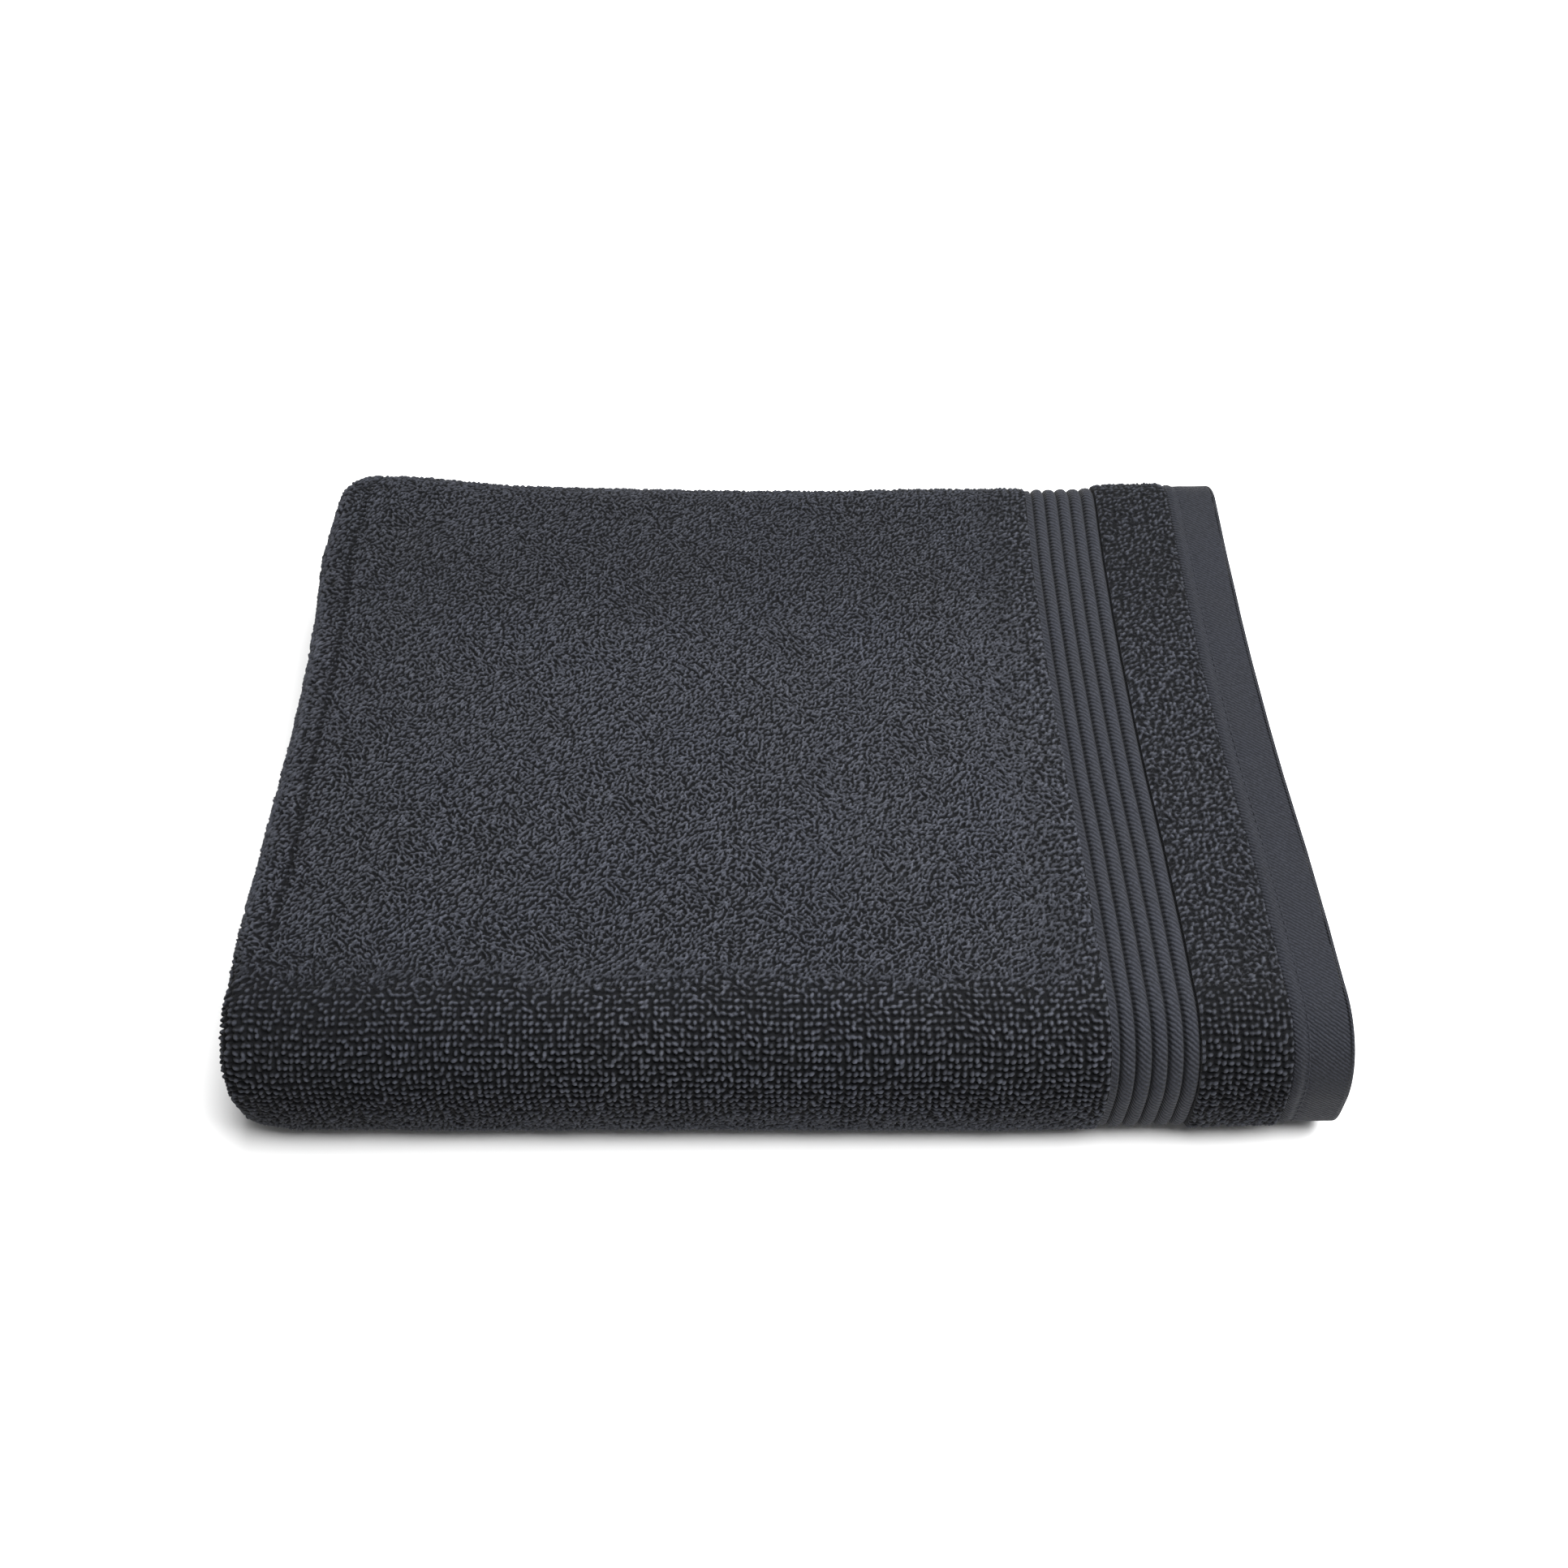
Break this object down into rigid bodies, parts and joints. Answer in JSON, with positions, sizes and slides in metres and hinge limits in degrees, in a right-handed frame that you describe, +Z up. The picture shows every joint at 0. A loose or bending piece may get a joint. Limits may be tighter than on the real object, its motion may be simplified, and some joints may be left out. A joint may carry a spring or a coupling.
{
  "type": "bath towel",
  "caption": "Folded terry bath towel with a ribbed dobby band, pile strip and flat hem at each end; the front fold opens.",
  "frame": {"origin": "centre of the folded towel's footprint, on the surface that it lies on", "axes": "+X along the cloth's length towards the end hems, +Y from the front fold to the back fold, +Z up"},
  "size_m": [0.334, 0.257, 0.0535],
  "materials": {
    "pile": "charcoal cotton terry loops, matte",
    "dobby": "charcoal ribbed dobby weave, soft sheen",
    "hem": "charcoal flat woven hem, soft sheen",
    "thread": "charcoal polyester sewing thread",
    "label": "white satin ribbon, blank"
  },
  "bodies": {
    "lower_leaf": {"lower_field": "pile", "lower_dobby_a": "dobby", "lower_dobby_b": "dobby", "lower_strip_a": "pile", "lower_strip_b": "pile", "lower_end_hem_a": "hem", "lower_end_hem_b": "hem", "lower_hem_thread": "thread", "front_fold_field": "pile", "front_fold_dobby_a": "dobby", "front_fold_dobby_b": "dobby", "front_fold_strip_a": "pile", "front_fold_strip_b": "pile", "front_fold_end_hem_a": "hem", "front_fold_end_hem_b": "hem", "front_fold_hem_thread": "thread", "lower_side_hem": "hem", "lower_side_thread": "thread"},
    "upper_leaf": {"upper_field": "pile", "upper_dobby_a": "dobby", "upper_dobby_b": "dobby", "upper_strip_a": "pile", "upper_strip_b": "pile", "upper_end_hem_a": "hem", "upper_end_hem_b": "hem", "upper_hem_thread": "thread", "back_fold_field": "pile", "back_fold_dobby_a": "dobby", "back_fold_dobby_b": "dobby", "back_fold_strip_a": "pile", "back_fold_strip_b": "pile", "back_fold_end_hem_a": "hem", "back_fold_end_hem_b": "hem", "back_fold_hem_thread": "thread", "tucked_field": "pile", "tucked_dobby_a": "dobby", "tucked_dobby_b": "dobby", "tucked_strip_a": "pile", "tucked_strip_b": "pile", "tucked_end_hem_a": "hem", "tucked_end_hem_b": "hem", "tucked_hem_thread": "thread", "tucked_side_hem": "hem", "tucked_side_thread": "thread", "care_label": "label"}
  },
  "joints": [
    {"name": "front_fold", "type": "hinge", "parent": "lower_leaf", "child": "upper_leaf", "pos_m": [0, -0.10175, 0.02675], "axis": [1, 0, 0], "range_deg": [0, 180], "deforming": ["front_fold_field", "front_fold_dobby_a", "front_fold_dobby_b", "front_fold_strip_a", "front_fold_strip_b", "front_fold_end_hem_a", "front_fold_end_hem_b", "front_fold_hem_thread"]}
  ]
}
